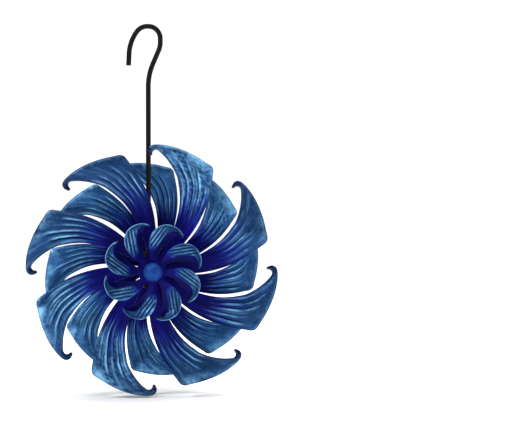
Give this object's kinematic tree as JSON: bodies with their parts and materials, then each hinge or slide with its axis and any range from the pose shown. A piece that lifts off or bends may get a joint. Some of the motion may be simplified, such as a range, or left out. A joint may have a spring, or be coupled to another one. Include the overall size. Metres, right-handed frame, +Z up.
{
  "type": "hanging wind spinner",
  "caption": "Hanging garden wind spinner: a hook rod between two hooked-blade wheels, with a small domed flower spinner in front, all on one axle.",
  "frame": {"origin": "the inside top of the hook, where the spinner hangs on its bracket or branch", "axes": "+Z up along the rod, -Y forwards out of the flower's face, +X to the right as seen from the front"},
  "size_m": [0.3046, 0.1023, 0.4513],
  "materials": {
    "black_coat": "satin black powder coat",
    "front_blade_blue": "semi-gloss steel blue over navy, brushed lighter on ridges and rims",
    "rear_blade_blue": "semi-gloss steel blue over navy, brushed lighter on ridges and rims",
    "petal_blue": "semi-gloss light blue with darker grooves",
    "hub_navy": "semi-gloss navy",
    "dome_blue": "semi-gloss medium blue",
    "zinc_steel": "bright zinc plate",
    "nylon": "natural nylon"
  },
  "bodies": {
    "frame": {"hook_rod": "black_coat", "cross_fitting": "black_coat", "upper_set_screw": "zinc_steel", "lower_set_screw": "zinc_steel", "axle_rod": "zinc_steel", "front_lock_nut": "zinc_steel", "rear_lock_nut": "zinc_steel", "front_inner_washer": "zinc_steel", "front_outer_washer": "zinc_steel", "rear_inner_washer": "zinc_steel", "rear_outer_washer": "zinc_steel", "flower_spacer": "zinc_steel", "flower_inner_washer": "zinc_steel", "flower_outer_washer": "zinc_steel", "front_dome_nut": "dome_blue", "rear_cap_nut": "zinc_steel"},
    "front_wheel": {"front_hub_sleeve": "zinc_steel", "front_inner_bush": "nylon", "front_outer_bush": "nylon", "front_hub_plate": "hub_navy", "front_clamp_ring": "hub_navy", "front_rivets": "hub_navy", "front_blade_1": "front_blade_blue", "front_blade_2": "front_blade_blue", "front_blade_3": "front_blade_blue", "front_blade_4": "front_blade_blue", "front_blade_5": "front_blade_blue", "front_blade_6": "front_blade_blue", "front_blade_7": "front_blade_blue", "front_blade_8": "front_blade_blue"},
    "rear_wheel": {"rear_hub_sleeve": "zinc_steel", "rear_inner_bush": "nylon", "rear_outer_bush": "nylon", "rear_hub_plate": "hub_navy", "rear_clamp_ring": "hub_navy", "rear_rivets": "hub_navy", "rear_blade_1": "rear_blade_blue", "rear_blade_2": "rear_blade_blue", "rear_blade_3": "rear_blade_blue", "rear_blade_4": "rear_blade_blue", "rear_blade_5": "rear_blade_blue", "rear_blade_6": "rear_blade_blue", "rear_blade_7": "rear_blade_blue", "rear_blade_8": "rear_blade_blue"},
    "flower": {"flower_hub_sleeve": "zinc_steel", "flower_inner_bush": "nylon", "flower_outer_bush": "nylon", "flower_plate": "hub_navy", "flower_petal_1": "petal_blue", "flower_petal_2": "petal_blue", "flower_petal_3": "petal_blue", "flower_petal_4": "petal_blue", "flower_petal_5": "petal_blue", "flower_petal_6": "petal_blue", "flower_petal_7": "petal_blue", "flower_petal_8": "petal_blue"}
  },
  "joints": [
    {"name": "front_wheel_spin", "type": "hinge", "parent": "frame", "child": "front_wheel", "pos_m": [0.0046, 0, -0.293], "axis": [0, -1, 0], "continuous": true},
    {"name": "rear_wheel_spin", "type": "hinge", "parent": "frame", "child": "rear_wheel", "pos_m": [0.0046, 0, -0.293], "axis": [0, -1, 0], "continuous": true},
    {"name": "flower_spin", "type": "hinge", "parent": "frame", "child": "flower", "pos_m": [0.0046, 0, -0.293], "axis": [0, -1, 0], "continuous": true}
  ]
}
